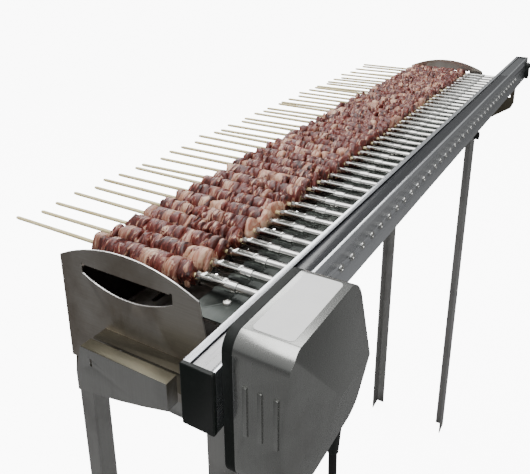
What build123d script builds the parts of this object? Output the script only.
"""Motor-driven skewer roaster: a charcoal trough on two leg frames, with a beam of forty turning chucks.

X runs along the trough, from the motor end (-X) to the far end (+X). The skewer tips point to +Y and
the spindle beam with its motor stands on the -Y side. Z is up and the feet stand on Z = 0.
"""

from build123d import *
import math
import os

os.makedirs("parts", exist_ok=True)

# ---------------------------------------------------------------- driving dimensions (mm)
SPINDLE_COUNT = 40
PITCH = 25.0
FIRST_SPINDLE_X = -500.0
AXIS_Z = 870.0

BEAM_LENGTH = 1240.0
BEAM_INNER_Y = -115.5
BEAM_WIDTH = 25.0
BEAM_TOP_Z = AXIS_Z + 24.0
BEAM_HEIGHT = 47.0
BEAM_INNER_WALL = 4.0
BEAM_OUTER_WALL = 3.0
BEAM_LIP = 5.5
CAP_THICKNESS = 4.0
CAP_MARGIN = 0.5

TROUGH_NEAR_X = -540.0
TROUGH_FAR_X = 500.0
TROUGH_CENTRE_Y = 11.5
TROUGH_WIDTH = 158.0
PLATE_CORNER_Z = AXIS_Z + 6.0
PLATE_RISE = 19.0
PLATE_BOTTOM_Z = AXIS_Z - 104.0
PLATE_SKEW = 20.0
SHEET = 1.5
FLOOR_Z = PLATE_BOTTOM_Z + 12.0
LEFT_RIM_Z = AXIS_Z - 13.5
SHIELD_Z = AXIS_Z - 8.0

CHUCK_TIP_Y = -37.0
CLAW_LENGTH = 5.5
CLAW_RADIUS = 4.4
BODY_LENGTH = 25.0
BODY_SIDE = 9.0
COLLAR_LENGTH = 11.0
COLLAR_RADIUS = 5.0
SHAFT_RADIUS = 4.0
SHAFT_BORE_GAP = 0.05
SHAFT_STICKS_OUT = 0.8
STICK_RADIUS = 1.75
STICK_IN_CHUCK = 14.0
STICK_TIP_Y = 200.5
STICK_SPREAD = 10.0
MEAT_RADIUS = 11.8
MEAT_START_Y = -33.5
MEAT_END_Y = 81.0

GEAR_TEETH = 25
GEAR_ADDENDUM = 0.8
GEAR_DEDENDUM = 1.25
GEAR_THICKNESS = 6.0
GEAR_BACKLASH = 0.45

HOUSING_NEAR_X = -613.0
HOUSING_FAR_X = -508.0
HOUSING_BOTTOM_Z = AXIS_Z - 67.0
HOUSING_TOP_Z = AXIS_Z + 48.0
HOUSING_CORNER = 14.0
HOUSING_WALL = 1.2
HOUSING_TOP_DEPTH = 41.0
HOUSING_RIDGE_DEPTH = 52.0
HOUSING_BOTTOM_DEPTH = 42.0
HOUSING_RIDGE_Z = AXIS_Z - 13.0
HOUSING_RIDGE_X = -560.0
LOUVRE_Y = (9.0, 20.0, 31.5)
LOUVRE_HEIGHT = 38.0
GASKET_THICKNESS = 8.0

LEG_NEAR_X = TROUGH_NEAR_X + SHEET
LEG_FAR_X = 400.0
LEG_LEFT_Y = 87.5
LEG_RIGHT_Y = -86.5
LEG_FACE = 18.0
LEG_FLANGE = 34.0
LEG_WALL = 2.0
APRON_FLANGE = 12.0
APRON_GAP = 19.0
APRON_Z = AXIS_Z - 57.0
APRON_DROP = 27.0
APRON_BELLY = 13.0
RAIL_DROP = 18.0
KNOB_INSET = 18.0

GLAND_X = -524.0
GLAND_HOLE = 6.0
GLAND_LENGTH = 33.9
SWITCH_X = -556.0
SWITCH_RADIUS = 7.0
CORD_RADIUS = 3.5
CORD_FLOOR_Z = CORD_RADIUS + 0.1
PLUG_Z = 19.0
CORD_ROUTE = [
    (-524, -180.5, HOUSING_BOTTOM_Z - GLAND_LENGTH),
    (-523, -181, 690),
    (-518, -183, 597),
    (-512, -188, 500),
    (-513, -194, 403),
    (-519, -198, 308),
    (-525, -198, 217),
    (-524, -194, 132),
    (-509, -186, 58),
    (-471, -177, 14),
    (-410, -170, CORD_FLOOR_Z),
    (-330, -186, CORD_FLOOR_Z),
    (-250, -212, CORD_FLOOR_Z),
    (-165, -222, CORD_FLOOR_Z),
    (-88, -196, CORD_FLOOR_Z),
    (-20, -152, CORD_FLOOR_Z),
    (50, -140, 8),
    (108, -152, PLUG_Z),
    (150, -152, PLUG_Z),
]

LEVER_X = 605.0
LEVER_Z = AXIS_Z + 8.0
LEVER_PIN = 3.0
SHIELD_SCREW_X = [FIRST_SPINDLE_X + PITCH * (8 * k - 0.5) for k in range(6)]
SHIELD_SCREW_Y = -76.0
BRACKET_BOLT_Y = (20.0, -50.0)
SCREW_RADIUS = 2.0
SCREW_HOLE = 2.2
KNOB_SCREW = 3.0
KNOB_HOLE = 3.2

# ---------------------------------------------------------------- places worked out from them
BEAM_OUTER_Y = BEAM_INNER_Y - BEAM_WIDTH
BEAM_CENTRE_Y = (BEAM_INNER_Y + BEAM_OUTER_Y) / 2
BEAM_BOTTOM_Z = BEAM_TOP_Z - BEAM_HEIGHT
GEAR_CENTRE_Y = (BEAM_INNER_Y - BEAM_INNER_WALL + BEAM_OUTER_Y + BEAM_OUTER_WALL) / 2
SPINDLE_X = [FIRST_SPINDLE_X + i * PITCH for i in range(SPINDLE_COUNT)]
DRIVE_X = FIRST_SPINDLE_X - PITCH
TROUGH_LEFT_Y = TROUGH_CENTRE_Y + TROUGH_WIDTH / 2
TROUGH_RIGHT_Y = TROUGH_CENTRE_Y - TROUGH_WIDTH / 2
PLATE_CORNER_RIGHT_Y = TROUGH_RIGHT_Y - PLATE_SKEW
GASKET_BACK_Y = BEAM_OUTER_Y
HOUSING_BACK_Y = BEAM_OUTER_Y - GASKET_THICKNESS
HOUSING_CENTRE_X = (HOUSING_NEAR_X + HOUSING_FAR_X) / 2
HOUSING_CENTRE_Z = (HOUSING_BOTTOM_Z + HOUSING_TOP_Z) / 2
HOUSING_LENGTH = HOUSING_FAR_X - HOUSING_NEAR_X
HOUSING_HEIGHT = HOUSING_TOP_Z - HOUSING_BOTTOM_Z
MOTOR_BOTTOM_Y = HOUSING_BACK_Y - 32.0
BRACKET_BOLT_Z = APRON_Z - 11.0
KNOB_Z = PLATE_BOTTOM_Z - 1.0
TAB_X = (LEG_NEAR_X + KNOB_INSET, LEG_FAR_X - KNOB_INSET)


def save(part, name):
    """Label a finished piece and write its STEP file."""
    part.label = name
    export_step(part, f"parts/{name}.step")


def across(y):
    """Sketch plane facing -Y at this y: its x is X and its y is Z."""
    return Plane.XZ.offset(-y)


def along(x):
    """Sketch plane facing +X at this x: its x is Y and its y is Z."""
    return Plane.YZ.offset(x)


def wall_y(z):
    """Outer y of the trough's leaning right wall at height z."""
    return TROUGH_RIGHT_Y - PLATE_SKEW * (PLATE_CORNER_Z - z) / (PLATE_CORNER_Z - PLATE_BOTTOM_Z)


# ---------------------------------------------------------------- trough
def make_trough_shell():
    """One folded sheet: left wall with a stiffening hem, floor with air slots, leaning right wall."""
    right_rim = SHIELD_Z - SHEET
    start = TROUGH_NEAR_X + SHEET
    length = TROUGH_FAR_X - SHEET - start
    hem = 6.0
    rim = 12.0
    tab = 24.0
    with BuildPart() as trough:
        with BuildSketch(along(start)):
            with BuildLine():
                Polyline(
                    (TROUGH_LEFT_Y - SHEET - hem, LEFT_RIM_Z),
                    (TROUGH_LEFT_Y, LEFT_RIM_Z),
                    (TROUGH_LEFT_Y, FLOOR_Z),
                    (wall_y(FLOOR_Z), FLOOR_Z),
                    (wall_y(right_rim - SHEET), right_rim - SHEET),
                    (wall_y(right_rim) - rim, right_rim - SHEET),
                    (wall_y(right_rim) - rim, right_rim),
                    (wall_y(right_rim) + SHEET, right_rim),
                    (wall_y(FLOOR_Z) + SHEET, FLOOR_Z + SHEET),
                    (TROUGH_LEFT_Y - SHEET, FLOOR_Z + SHEET),
                    (TROUGH_LEFT_Y - SHEET, LEFT_RIM_Z - SHEET),
                    (TROUGH_LEFT_Y - SHEET - hem, LEFT_RIM_Z - SHEET),
                    close=True,
                )
            make_face()
        extrude(amount=length)
        middle = start + length / 2
        with BuildSketch(Plane.XY.offset(FLOOR_Z)):
            with Locations((middle, TROUGH_CENTRE_Y)):
                with GridLocations(60, 60, 16, 2):
                    SlotOverall(36, 5)
        extrude(amount=SHEET, mode=Mode.SUBTRACT)
        with BuildSketch(Plane.XY.offset(right_rim)):
            with Locations(*[(x, SHIELD_SCREW_Y) for x in SHIELD_SCREW_X]):
                Circle(SCREW_HOLE)
        extrude(amount=-SHEET, mode=Mode.SUBTRACT)
        for leg_y, inward in ((LEG_LEFT_Y, -1), (LEG_RIGHT_Y, 1)):
            tab_y = leg_y + inward * (LEG_WALL + SHEET / 2)
            with BuildSketch(across(tab_y + SHEET / 2)):
                with Locations(*[(x, FLOOR_Z - tab / 2) for x in TAB_X]):
                    Rectangle(20, tab)
                with Locations(*[(x, KNOB_Z) for x in TAB_X]):
                    Circle(KNOB_HOLE, mode=Mode.SUBTRACT)
            extrude(amount=SHEET)
    return trough.part


def end_plate_at(x):
    """An end plate with an arched top and a half-moon hand slot, its outer face towards -X at x."""
    slot_half = 52.0
    slot_top = AXIS_Z + 3.0
    slot_side = 9.0
    slot_belly = 22.0
    relief = 1.5
    with BuildPart() as plate:
        with BuildSketch(along(x)):
            with BuildLine():
                Polyline(
                    (TROUGH_LEFT_Y, PLATE_CORNER_Z),
                    (TROUGH_LEFT_Y, PLATE_BOTTOM_Z),
                    (PLATE_CORNER_RIGHT_Y, PLATE_BOTTOM_Z),
                    (TROUGH_RIGHT_Y, PLATE_CORNER_Z),
                )
                ThreePointArc(
                    (TROUGH_RIGHT_Y, PLATE_CORNER_Z),
                    (TROUGH_CENTRE_Y, PLATE_CORNER_Z + PLATE_RISE),
                    (TROUGH_LEFT_Y, PLATE_CORNER_Z),
                )
            make_face()
            with BuildLine(mode=Mode.PRIVATE) as hand_slot:
                Polyline(
                    (TROUGH_CENTRE_Y - slot_half, slot_top - slot_side),
                    (TROUGH_CENTRE_Y - slot_half, slot_top),
                    (TROUGH_CENTRE_Y + slot_half, slot_top),
                    (TROUGH_CENTRE_Y + slot_half, slot_top - slot_side),
                )
                ThreePointArc(
                    (TROUGH_CENTRE_Y + slot_half, slot_top - slot_side),
                    (TROUGH_CENTRE_Y, slot_top - slot_belly),
                    (TROUGH_CENTRE_Y - slot_half, slot_top - slot_side),
                )
            make_face(hand_slot.edges(), mode=Mode.SUBTRACT)
            with Locations(
                (TROUGH_CENTRE_Y - slot_half + relief, slot_top),
                (TROUGH_CENTRE_Y + slot_half - relief, slot_top),
            ):
                Circle(relief, mode=Mode.SUBTRACT)
            with Locations(*[(y, BRACKET_BOLT_Z) for y in BRACKET_BOLT_Y]):
                Circle(SCREW_HOLE, mode=Mode.SUBTRACT)
        extrude(amount=SHEET)
    return plate.part


def make_charcoal_grate():
    """A perforated sheet on two folded feet, low in the trough."""
    length = 960.0
    width = 120.0
    lift = 18.0
    middle_x = (TROUGH_NEAR_X + TROUGH_FAR_X) / 2
    base = FLOOR_Z + SHEET
    with BuildPart() as grate:
        with BuildSketch(Plane.XY.offset(base + lift)):
            with Locations((middle_x, TROUGH_CENTRE_Y)):
                Rectangle(length, width)
                with GridLocations(48, 24, 19, 4):
                    SlotOverall(32, 6, mode=Mode.SUBTRACT)
        extrude(amount=SHEET)
        with Locations(
            (middle_x, TROUGH_CENTRE_Y - width / 2 + SHEET / 2, base + lift / 2),
            (middle_x, TROUGH_CENTRE_Y + width / 2 - SHEET / 2, base + lift / 2),
        ):
            Box(length, SHEET, lift)
    return grate.part


def make_heat_shield():
    """The folded sheet under the chucks, from the trough's right rim to the beam."""
    inner_y = -52.5
    lip = 7.0
    length = TROUGH_FAR_X - TROUGH_NEAR_X - 2 * SHEET - 1.0
    middle_x = (TROUGH_NEAR_X + TROUGH_FAR_X) / 2
    width = inner_y - BEAM_INNER_Y
    with BuildPart() as shield:
        with Locations((middle_x, (inner_y + BEAM_INNER_Y) / 2, SHIELD_Z - SHEET / 2)):
            Box(length, width, SHEET)
        with Locations((middle_x, inner_y - SHEET / 2, SHIELD_Z - lip / 2)):
            Box(length, SHEET, lip)
        with Locations((middle_x, BEAM_INNER_Y + SHEET / 2, SHIELD_Z - lip / 2)):
            Box(length, SHEET, lip)
        with BuildSketch(Plane.XY.offset(SHIELD_Z)):
            with Locations(*[(x, SHIELD_SCREW_Y) for x in SHIELD_SCREW_X]):
                Circle(SCREW_HOLE)
        extrude(amount=-SHEET, mode=Mode.SUBTRACT)
    return shield.part


# ---------------------------------------------------------------- leg frames and brackets
def leg_pair_at(x, outward):
    """Two angle legs joined under the trough by a rail. outward is the X direction they face."""
    centre_x = x - outward * LEG_WALL / 2
    with BuildPart() as pair:
        for side_y, inward in ((LEG_LEFT_Y, -1), (LEG_RIGHT_Y, 1)):
            with Locations((centre_x, side_y + inward * LEG_FACE / 2, FLOOR_Z / 2)):
                Box(LEG_WALL, LEG_FACE, FLOOR_Z)
            with Locations((x - outward * LEG_FLANGE / 2, side_y + inward * LEG_WALL / 2, FLOOR_Z / 2)):
                Box(LEG_FLANGE, LEG_WALL, FLOOR_Z)
        with Locations((centre_x, (LEG_LEFT_Y + LEG_RIGHT_Y) / 2, PLATE_BOTTOM_Z - RAIL_DROP / 2)):
            Box(LEG_WALL, LEG_LEFT_Y - LEG_RIGHT_Y, RAIL_DROP)
        with BuildSketch(across(LEG_LEFT_Y)):
            with Locations((x - outward * KNOB_INSET, KNOB_Z)):
                Circle(KNOB_HOLE)
        extrude(amount=LEG_LEFT_Y - LEG_RIGHT_Y, mode=Mode.SUBTRACT)
    return pair.part


def near_leg_frame():
    """The near pair of legs with the apron that stands off in front, joined to the left leg by a wing."""
    apron_x = LEG_NEAR_X - APRON_GAP - APRON_FLANGE
    right = TROUGH_CENTRE_Y - 66.5
    left = LEG_LEFT_Y - 37.5
    flange_end = left - 8.5
    low_z = PLATE_BOTTOM_Z - RAIL_DROP
    flange_x = apron_x + APRON_FLANGE / 2
    flange_length = flange_end - right
    face_x = apron_x - LEG_WALL / 2
    wing_run = Vector(LEG_NEAR_X - face_x, LEG_LEFT_Y - left, 0)
    wing_face = Plane((face_x, left, 0), wing_run, wing_run.cross(Vector(0, 0, 1)))
    with BuildPart() as frame:
        add(leg_pair_at(LEG_NEAR_X, -1))
        with BuildSketch(wing_face):
            Polygon(
                (0, APRON_Z - 29.0),
                (wing_run.length - 6.0, PLATE_BOTTOM_Z - 0.5),
                (wing_run.length, PLATE_BOTTOM_Z - 0.5),
                (wing_run.length, low_z),
                (0, low_z + 16.0),
                align=None,
            )
        extrude(amount=LEG_WALL)
        with BuildSketch(along(face_x)):
            with BuildLine():
                Polyline(
                    (right, APRON_Z - APRON_DROP),
                    (right, APRON_Z),
                    (flange_end, APRON_Z),
                    (left, APRON_Z - 29.0),
                    (left, low_z + 16.0),
                )
                ThreePointArc(
                    (left, low_z + 16.0),
                    ((left + right) / 2, APRON_Z - APRON_DROP - APRON_BELLY),
                    (right, APRON_Z - APRON_DROP),
                )
            make_face()
            with Locations((flange_end - 11.5, APRON_Z - 13.0)):
                SlotOverall(8, 2.5, rotation=90, mode=Mode.SUBTRACT)
        extrude(amount=LEG_WALL)
        with Locations((flange_x, right + flange_length / 2, APRON_Z - LEG_WALL / 2)):
            Box(APRON_FLANGE, flange_length, LEG_WALL)
        with Locations((flange_x, right + LEG_WALL / 2, APRON_Z - APRON_DROP / 2)):
            Box(APRON_FLANGE, LEG_WALL, APRON_DROP)
    return frame.part


def beam_bracket_at(x, outward):
    """A shelf angle on an end plate and the gusset that carries the beam, with one clear hole."""
    shelf_left = 41.0
    shelf_depth = 15.0
    shelf_z = APRON_Z
    gusset_right = BEAM_OUTER_Y + 1.0
    gusset_low = AXIS_Z - 68.0
    wall = 2.0
    plate_x = x + outward * wall / 2
    with BuildPart() as bracket:
        with BuildSketch(along(plate_x - wall / 2)):
            with BuildLine():
                Polyline(
                    (shelf_left, shelf_z),
                    (shelf_left, shelf_z - 20.0),
                    (TROUGH_RIGHT_Y - 20.0, PLATE_BOTTOM_Z + 4.0),
                    (gusset_right + 5.0, gusset_low),
                    (gusset_right, gusset_low + 12.0),
                    (gusset_right, BEAM_BOTTOM_Z),
                    (BEAM_INNER_Y + 3.0, BEAM_BOTTOM_Z),
                    (BEAM_INNER_Y + 9.0, shelf_z),
                    close=True,
                )
            make_face()
            with Locations((BEAM_CENTRE_Y, AXIS_Z - 42.0)):
                Circle(3.3, mode=Mode.SUBTRACT)
            with Locations(*[(y, BRACKET_BOLT_Z) for y in BRACKET_BOLT_Y]):
                Circle(SCREW_HOLE, mode=Mode.SUBTRACT)
        extrude(amount=wall)
        shelf_length = shelf_left - (BEAM_INNER_Y + 9.0)
        shelf_middle = (shelf_left + BEAM_INNER_Y + 9.0) / 2
        with Locations((x + outward * shelf_depth / 2, shelf_middle, shelf_z - wall / 2)):
            Box(shelf_depth, shelf_length, wall)
        with Locations((x + outward * shelf_depth / 2, BEAM_CENTRE_Y, BEAM_BOTTOM_Z - wall / 2)):
            Box(shelf_depth, BEAM_WIDTH - 4.0, wall)
    return bracket.part


# ---------------------------------------------------------------- spindle beam
def make_spindle_beam():
    """The open aluminium channel that carries the shafts, bored through both walls at each pitch."""
    inside_left = BEAM_INNER_Y - BEAM_INNER_WALL
    inside_right = BEAM_OUTER_Y + BEAM_OUTER_WALL
    lip_under = BEAM_TOP_Z - 6.0
    floor_top = BEAM_BOTTOM_Z + 3.0
    bore = SHAFT_RADIUS + SHAFT_BORE_GAP
    with BuildPart() as beam:
        with BuildSketch(along(-BEAM_LENGTH / 2)):
            with BuildLine():
                Polyline(
                    (BEAM_INNER_Y, BEAM_TOP_Z),
                    (BEAM_INNER_Y, BEAM_BOTTOM_Z),
                    (BEAM_OUTER_Y, BEAM_BOTTOM_Z),
                    (BEAM_OUTER_Y, BEAM_TOP_Z),
                    (inside_right, BEAM_TOP_Z),
                    (inside_right, floor_top),
                    (inside_left, floor_top),
                    (inside_left, lip_under),
                    (BEAM_INNER_Y - BEAM_LIP, lip_under),
                    (BEAM_INNER_Y - BEAM_LIP, BEAM_TOP_Z),
                    close=True,
                )
            make_face()
        extrude(amount=BEAM_LENGTH)
        with BuildSketch(across(BEAM_INNER_Y)):
            with Locations(*[(x, AXIS_Z) for x in SPINDLE_X]):
                Circle(bore)
        extrude(amount=BEAM_WIDTH, mode=Mode.SUBTRACT)
        with BuildSketch(across(inside_right)):
            with Locations((DRIVE_X, AXIS_Z)):
                Circle(bore)
            with Locations((LEVER_X, LEVER_Z)):
                Circle(LEVER_PIN + SHAFT_BORE_GAP)
        extrude(amount=BEAM_OUTER_WALL, mode=Mode.SUBTRACT)
    return beam.part


def make_beam_lid():
    """Three recessed cover strips laid end to end between the beam's lips."""
    left = BEAM_INNER_Y - BEAM_LIP - 0.8
    right = BEAM_OUTER_Y + BEAM_OUTER_WALL
    joints = [-BEAM_LENGTH / 2, DRIVE_X, 400.0, BEAM_LENGTH / 2]
    gap = 0.5
    with BuildPart() as lid:
        for start, end in zip(joints, joints[1:]):
            with Locations(((start + end) / 2, (left + right) / 2, BEAM_TOP_Z - 2.5)):
                Box(end - start - gap, left - right, 2.0)
    return lid.part


def make_beam_end_caps():
    """A moulded cap over each open end of the beam."""
    offset_x = (BEAM_LENGTH + CAP_THICKNESS) / 2
    centre_z = BEAM_TOP_Z - BEAM_HEIGHT / 2
    with BuildPart() as caps:
        with Locations((-offset_x, BEAM_CENTRE_Y, centre_z), (offset_x, BEAM_CENTRE_Y, centre_z)):
            Box(CAP_THICKNESS, BEAM_WIDTH + 2 * CAP_MARGIN, BEAM_HEIGHT + 2 * CAP_MARGIN)
        fillet(caps.edges().filter_by(Axis.X), 1.5)
    return caps.part


# ---------------------------------------------------------------- gears and spindles
def gear_points():
    """The outline of a spur gear whose pitch diameter is the spindle pitch, a tooth at angle 0."""
    pitch_radius = PITCH / 2
    step = 2 * math.pi / GEAR_TEETH
    half_tooth = step / 4 - GEAR_BACKLASH / 4 / pitch_radius
    slope = math.tan(math.radians(20.0)) / pitch_radius
    tip = pitch_radius + GEAR_ADDENDUM
    root = pitch_radius - GEAR_DEDENDUM
    points = []
    for tooth in range(GEAR_TEETH):
        middle = tooth * step
        half_root = half_tooth + GEAR_DEDENDUM * slope
        half_tip = half_tooth - GEAR_ADDENDUM * slope
        for radius, angle in (
            (root, middle - half_root),
            (tip, middle - half_tip),
            (tip, middle + half_tip),
            (root, middle + half_root),
        ):
            points.append((radius * math.cos(angle), radius * math.sin(angle)))
    return points


def add_gear(x):
    """Extrude one gear into the part being built, centred in the beam's cavity."""
    with BuildSketch(across(GEAR_CENTRE_Y + GEAR_THICKNESS / 2)) as outline:
        with Locations((x, AXIS_Z)):
            Polygon(*gear_points(), align=None)
    extrude(outline.sketch, amount=GEAR_THICKNESS)


def add_rod(x, start_y, end_y, radius, mode=Mode.ADD):
    """Extrude one round length along Y into the part being built."""
    with BuildSketch(across(start_y)) as disc:
        with Locations((x, AXIS_Z)):
            Circle(radius)
    extrude(disc.sketch, amount=start_y - end_y, mode=mode)


def make_steel_spindle(x):
    """Claw, windowed chuck body, collar, shaft and gear, turned and milled as one piece."""
    body_start = CHUCK_TIP_Y - CLAW_LENGTH
    collar_start = body_start - BODY_LENGTH
    shaft_start = collar_start - COLLAR_LENGTH
    shaft_end = BEAM_OUTER_Y - SHAFT_STICKS_OUT
    window_length = 18.5
    window_height = 6.4
    window_depth = 1.9
    with BuildPart() as spindle:
        add_rod(x, CHUCK_TIP_Y, body_start, CLAW_RADIUS)
        with BuildSketch(across(CHUCK_TIP_Y)):
            with Locations((x, AXIS_Z)):
                Rectangle(1.2, 2 * CLAW_RADIUS)
                Rectangle(2 * CLAW_RADIUS, 1.2)
        extrude(amount=CLAW_LENGTH, mode=Mode.SUBTRACT)
        with BuildSketch(across(body_start)):
            with Locations((x, AXIS_Z)):
                RectangleRounded(BODY_SIDE, BODY_SIDE, 1.5)
        extrude(amount=BODY_LENGTH)
        for top in (1, -1):
            face_z = AXIS_Z + top * (BODY_SIDE - window_depth) / 2
            with Locations((x, body_start - BODY_LENGTH / 2, face_z)):
                Box(window_height, window_length, window_depth, mode=Mode.SUBTRACT)
        add_rod(x, collar_start, shaft_start, COLLAR_RADIUS)
        add_rod(x, shaft_start, shaft_end, SHAFT_RADIUS)
        add_gear(x)
        add_rod(x, CHUCK_TIP_Y, CHUCK_TIP_Y - STICK_IN_CHUCK, STICK_RADIUS, Mode.SUBTRACT)
        add_rod(x, shaft_end + 5.0, shaft_end, SHAFT_RADIUS - 1.4, Mode.SUBTRACT)
    return spindle.part


def make_stick(x, tip_y):
    """A round bamboo stick with a short point, held in the chuck."""
    point = 6.0
    with BuildPart() as stick:
        add_rod(x, tip_y, CHUCK_TIP_Y - STICK_IN_CHUCK, STICK_RADIUS)
        chamfer(stick.faces().sort_by(Axis.Y)[-1].edges(), length=point / 2, length2=STICK_RADIUS * 0.6)
    return stick.part


def make_meat(x):
    """The roll of threaded meat, a plain round body with the stick's hole through it."""
    with BuildPart() as meat:
        add_rod(x, MEAT_END_Y, MEAT_START_Y, MEAT_RADIUS)
        add_rod(x, MEAT_END_Y, MEAT_START_Y, STICK_RADIUS, Mode.SUBTRACT)
    return meat.part


def stick_tip(index):
    """How far this stick reaches: hand-set skewers end unevenly, the longest at STICK_TIP_Y."""
    return STICK_TIP_Y - STICK_SPREAD * (1 - math.cos(2.4 * index)) / 2


def make_drive_gear():
    """The motor's output gear, one pitch before the first spindle, on its own shaft."""
    with BuildPart() as gear:
        add_gear(DRIVE_X)
        add_rod(DRIVE_X, GEAR_CENTRE_Y + 5.0, HOUSING_BACK_Y - 14.0, SHAFT_RADIUS)
    return gear.part


# ---------------------------------------------------------------- motor unit
def make_gearmotor():
    """Flat gearbox with a round boss on the beam, and the motor can behind it."""
    box_length = 78.0
    box_height = 56.0
    box_depth = 20.0
    can_radius = 19.0
    can_length = 17.0
    gap = 0.4
    box_start = HOUSING_BACK_Y - gap
    box_x = DRIVE_X + 10.0 - box_length / 2
    with BuildPart() as motor:
        with Locations((box_x, box_start - box_depth / 2, AXIS_Z)):
            Box(box_length, box_depth, box_height)
        fillet(motor.edges().filter_by(Axis.Y), 5.0)
        with BuildSketch(across(BEAM_OUTER_Y)):
            with Locations((DRIVE_X, AXIS_Z)):
                Circle(15.0)
        extrude(amount=GASKET_THICKNESS + gap)
        with BuildSketch(across(box_start - box_depth)):
            with Locations((box_x - 8.0, AXIS_Z - 4.0)):
                Circle(can_radius)
        extrude(amount=can_length)
        with BuildSketch(across(BEAM_OUTER_Y)):
            with Locations((DRIVE_X, AXIS_Z)):
                Circle(SHAFT_RADIUS + SHAFT_BORE_GAP)
        extrude(amount=GASKET_THICKNESS + 15.0, mode=Mode.SUBTRACT)
    return motor.part


def make_motor_gasket():
    """The thick black plate between the beam and the housing, with the gearbox boss through it."""
    with BuildPart() as gasket:
        with BuildSketch(across(GASKET_BACK_Y)):
            with Locations((HOUSING_CENTRE_X, HOUSING_CENTRE_Z)):
                RectangleRounded(HOUSING_LENGTH, HOUSING_HEIGHT, HOUSING_CORNER)
            with Locations((DRIVE_X, AXIS_Z)):
                Circle(15.4, mode=Mode.SUBTRACT)
        extrude(amount=GASKET_THICKNESS)
    return gasket.part


def housing_body(inset):
    """The faceted housing as a solid, shrunk by inset on every side but the open back."""
    near = HOUSING_NEAR_X + inset
    far = HOUSING_FAR_X - inset
    top = HOUSING_TOP_Z - inset
    bottom = HOUSING_BOTTOM_Z + inset
    ridge_y = HOUSING_BACK_Y - HOUSING_RIDGE_DEPTH + inset
    top_y = HOUSING_BACK_Y - HOUSING_TOP_DEPTH + inset
    bottom_y = HOUSING_BACK_Y - HOUSING_BOTTOM_DEPTH + inset
    ridge_z = HOUSING_RIDGE_Z
    upper_slope = Vector(0, ridge_y - top_y, ridge_z - top)
    lower_slope = Vector(0, bottom_y - ridge_y, bottom - ridge_z)
    upper = Plane((far, top_y, top), (1, 0, 0), Vector(1, 0, 0).cross(upper_slope))
    lower = Plane((far, bottom_y, bottom), (1, 0, 0), Vector(1, 0, 0).cross(lower_slope))
    edge_run = Vector(HOUSING_RIDGE_X - near, ridge_y - top_y, ridge_z - top)
    near_low = Vector(0, 5.0, bottom - top)
    diagonal = Plane((near, top_y, top), edge_run, near_low.cross(edge_run))
    with BuildPart() as body:
        with BuildSketch(across(HOUSING_BACK_Y)):
            with Locations(((near + far) / 2, (top + bottom) / 2)):
                RectangleRounded(far - near, top - bottom, HOUSING_CORNER - inset)
        extrude(amount=HOUSING_BACK_Y - ridge_y)
        for cut in (upper, lower, diagonal):
            inside = Vector(HOUSING_CENTRE_X, HOUSING_BACK_Y - 5.0, HOUSING_CENTRE_Z)
            side = cut.to_local_coords(inside).Z
            split(bisect_by=cut, keep=Keep.TOP if side > 0 else Keep.BOTTOM)
    return body.part


def make_motor_housing():
    """The deep-drawn cover: a thin shell with three vertical louvres and holes in its underside."""
    outer = housing_body(0.0)
    inner = housing_body(HOUSING_WALL)
    with BuildPart() as housing:
        add(outer)
        add(inner, mode=Mode.SUBTRACT)
        with Locations(*[(HOUSING_NEAR_X, HOUSING_BACK_Y - y, AXIS_Z - 4.0) for y in LOUVRE_Y]):
            Box(2.0, 3.0, LOUVRE_HEIGHT)
        with BuildSketch(Plane.XY.offset(HOUSING_BOTTOM_Z)):
            with Locations((GLAND_X, MOTOR_BOTTOM_Y)):
                Circle(GLAND_HOLE)
            with Locations((SWITCH_X, MOTOR_BOTTOM_Y)):
                Circle(SWITCH_RADIUS + 0.5)
        extrude(amount=HOUSING_WALL + 1.0, mode=Mode.SUBTRACT)
    return housing.part


def make_cable_gland():
    """Locknut inside, hexagon outside and a tapered rubber sleeve that the cord leaves from."""
    with BuildPart() as gland:
        with BuildSketch(Plane.XY.offset(HOUSING_BOTTOM_Z)):
            with Locations((GLAND_X, MOTOR_BOTTOM_Y)):
                RegularPolygon(8.5, 6)
        extrude(amount=-6.0)
        with BuildSketch(Plane.XY.offset(HOUSING_BOTTOM_Z - 6.0)):
            with Locations((GLAND_X, MOTOR_BOTTOM_Y)):
                Circle(6.4)
        with BuildSketch(Plane.XY.offset(HOUSING_BOTTOM_Z - GLAND_LENGTH)):
            with Locations((GLAND_X, MOTOR_BOTTOM_Y)):
                Circle(CORD_RADIUS + 1.0)
        loft()
        with Locations((GLAND_X, MOTOR_BOTTOM_Y, HOUSING_BOTTOM_Z + 3.0)):
            Cylinder(GLAND_HOLE - 0.1, 6.0)
        with Locations((GLAND_X, MOTOR_BOTTOM_Y, HOUSING_BOTTOM_Z + HOUSING_WALL + 3.2)):
            Cylinder(7.0, 4.0)
    return gland.part


def make_power_switch():
    """A push button that travels up into the housing, with a retaining flange inside."""
    with BuildPart() as switch:
        with Locations((SWITCH_X, MOTOR_BOTTOM_Y, HOUSING_BOTTOM_Z - 1.5)):
            Cylinder(SWITCH_RADIUS, 15.0)
        with Locations((SWITCH_X, MOTOR_BOTTOM_Y, HOUSING_BOTTOM_Z + HOUSING_WALL + 1.6)):
            Cylinder(SWITCH_RADIUS + 1.6, 2.4)
        fillet(switch.faces().sort_by(Axis.Z)[0].edges(), 1.5)
    return switch.part


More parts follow.
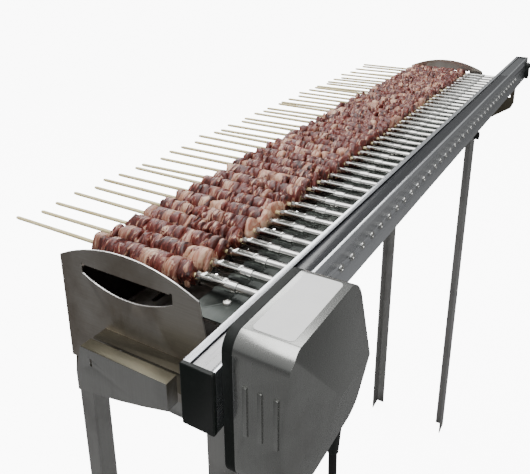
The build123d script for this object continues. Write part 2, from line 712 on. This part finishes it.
# ---------------------------------------------------------------- lever, fasteners, cord
def make_end_lever():
    """A short latch lever on the far end's outer face, turning on its own pin."""
    gap = 0.6
    hub_radius = 8.0
    with BuildPart() as lever:
        with BuildSketch(across(BEAM_OUTER_Y - gap)):
            with BuildLine():
                Polyline(
                    (LEVER_X - hub_radius, LEVER_Z),
                    (LEVER_X - 6.0, LEVER_Z - 26.0),
                    (LEVER_X + 4.0, LEVER_Z - 30.0),
                    (LEVER_X + 12.0, LEVER_Z - 22.0),
                    (LEVER_X + hub_radius, LEVER_Z),
                )
                ThreePointArc(
                    (LEVER_X + hub_radius, LEVER_Z),
                    (LEVER_X, LEVER_Z + hub_radius),
                    (LEVER_X - hub_radius, LEVER_Z),
                )
            make_face()
            with Locations((LEVER_X + 2.0, LEVER_Z - 17.0)):
                Circle(3.2, mode=Mode.SUBTRACT)
        extrude(amount=7.0)
        with BuildSketch(across(BEAM_OUTER_Y + BEAM_OUTER_WALL)):
            with Locations((LEVER_X, LEVER_Z)):
                Circle(LEVER_PIN)
        extrude(amount=BEAM_OUTER_WALL + gap)
        with BuildSketch(across(BEAM_OUTER_Y - gap - 7.0)):
            with Locations((LEVER_X, LEVER_Z)):
                Circle(5.0)
        extrude(amount=2.5)
    return lever.part


def make_leg_knobs():
    """Four lobed thumb screws through the legs into the trough's tabs."""
    lobes = 5
    with BuildPart() as knobs:
        for x in TAB_X:
            for face_y, outward in ((LEG_LEFT_Y, 1), (LEG_RIGHT_Y, -1)):
                face = Plane((x, face_y, KNOB_Z), (1, 0, 0), (0, outward, 0))
                with BuildSketch(face):
                    Circle(5.0)
                extrude(amount=3.0)
                with BuildSketch(face.offset(3.0)):
                    Circle(7.0)
                    with PolarLocations(6.5, lobes):
                        Circle(2.4)
                extrude(amount=8.0)
                with BuildSketch(face):
                    Circle(KNOB_SCREW)
                extrude(amount=-9.0)
    return knobs.part


def make_fasteners():
    """Pan-head screws: a row through the heat shield and a pair through each beam bracket."""
    head_radius = 4.2
    head_height = 2.2
    grip = 6.0
    bracket_wall = 2.0
    seats = [Plane((x, SHIELD_SCREW_Y, SHIELD_Z), (1, 0, 0), (0, 0, 1)) for x in SHIELD_SCREW_X]
    for y in BRACKET_BOLT_Y:
        seats.append(Plane((TROUGH_NEAR_X - bracket_wall, y, BRACKET_BOLT_Z), (0, 1, 0), (-1, 0, 0)))
        seats.append(Plane((TROUGH_FAR_X + bracket_wall, y, BRACKET_BOLT_Z), (0, 1, 0), (1, 0, 0)))
    with BuildPart() as screws:
        for seat in seats:
            with BuildSketch(seat):
                Circle(head_radius)
            extrude(amount=head_height, taper=20)
            with BuildSketch(seat):
                Circle(SCREW_RADIUS)
            extrude(amount=-grip)
    return screws.part


def make_power_cord():
    """The mains lead: straight runs joined by the largest arcs their lengths allow."""
    points = [Vector(*p) for p in CORD_ROUTE]
    radii = []
    for before, here, after in zip(points, points[1:], points[2:]):
        shorter = min((here - before).length, (after - here).length)
        turn = math.radians((here - before).get_angle(after - here))
        radii.append(0.45 * shorter / math.tan(turn / 2))
    print("cord radii (mm):", [round(r) for r in radii])
    runs = [(b - a).length for a, b in zip(points, points[1:])]
    print("cord runs (mm):", [round(r) for r in runs])
    with BuildPart() as cord:
        with BuildLine() as route:
            FilletPolyline(*points, radius=radii)
        with BuildSketch(Plane(points[0], z_dir=points[1] - points[0])):
            Circle(CORD_RADIUS)
        sweep()
    length = route.wires()[0].length
    ratio = cord.part.volume / (length * math.pi * CORD_RADIUS**2)
    print("cord length (mm):", round(length), "volume ratio:", round(ratio, 4))
    return cord.part


def make_plug():
    """A round moulded mains plug lying on the floor, its two pins pointing along +X."""
    tail_x, plug_y, plug_z = CORD_ROUTE[-1]
    with BuildPart() as plug:
        with BuildSketch(Plane.YZ.offset(tail_x)):
            with Locations((plug_y, plug_z)):
                Circle(CORD_RADIUS + 1.2)
        with BuildSketch(Plane.YZ.offset(tail_x + 26.0)):
            with Locations((plug_y, plug_z)):
                Circle(11.0)
        loft()
        with BuildSketch(Plane.YZ.offset(tail_x + 26.0)):
            with Locations((plug_y, plug_z)):
                Circle(18.0)
        extrude(amount=22.0)
        with BuildSketch(Plane.YZ.offset(tail_x + 48.0)):
            with Locations((plug_y - 9.5, plug_z), (plug_y + 9.5, plug_z)):
                Circle(2.4)
        extrude(amount=19.0)
    return plug.part


# ---------------------------------------------------------------- write every piece
save(make_trough_shell(), "trough_shell")
save(Compound(children=[end_plate_at(x) for x in (TROUGH_NEAR_X, TROUGH_FAR_X - SHEET)]), "end_plates")
save(make_charcoal_grate(), "charcoal_grate")
save(make_heat_shield(), "heat_shield")
save(Compound(children=[near_leg_frame(), leg_pair_at(LEG_FAR_X, 1)]), "leg_frames")
brackets = [beam_bracket_at(TROUGH_NEAR_X, -1), beam_bracket_at(TROUGH_FAR_X, 1)]
save(Compound(children=brackets), "beam_brackets")
save(make_spindle_beam(), "spindle_beam")
save(make_beam_lid(), "beam_lid")
save(make_beam_end_caps(), "beam_end_caps")
save(make_drive_gear(), "drive_gear")
save(make_gearmotor(), "gearmotor")
save(make_motor_gasket(), "motor_gasket")
save(make_motor_housing(), "motor_housing")
save(make_cable_gland(), "cable_gland")
save(make_power_switch(), "power_switch")
save(make_end_lever(), "end_lever")
save(make_leg_knobs(), "leg_knobs")
save(make_fasteners(), "fasteners")
save(make_power_cord(), "power_cord")
save(make_plug(), "plug")
for index, spindle_x in enumerate(SPINDLE_X):
    steel = make_steel_spindle(spindle_x)
    stick = make_stick(spindle_x, stick_tip(index))
    meat = make_meat(spindle_x)
    save(Compound(children=[steel, stick, meat]), f"spindle_{index + 1:02d}")
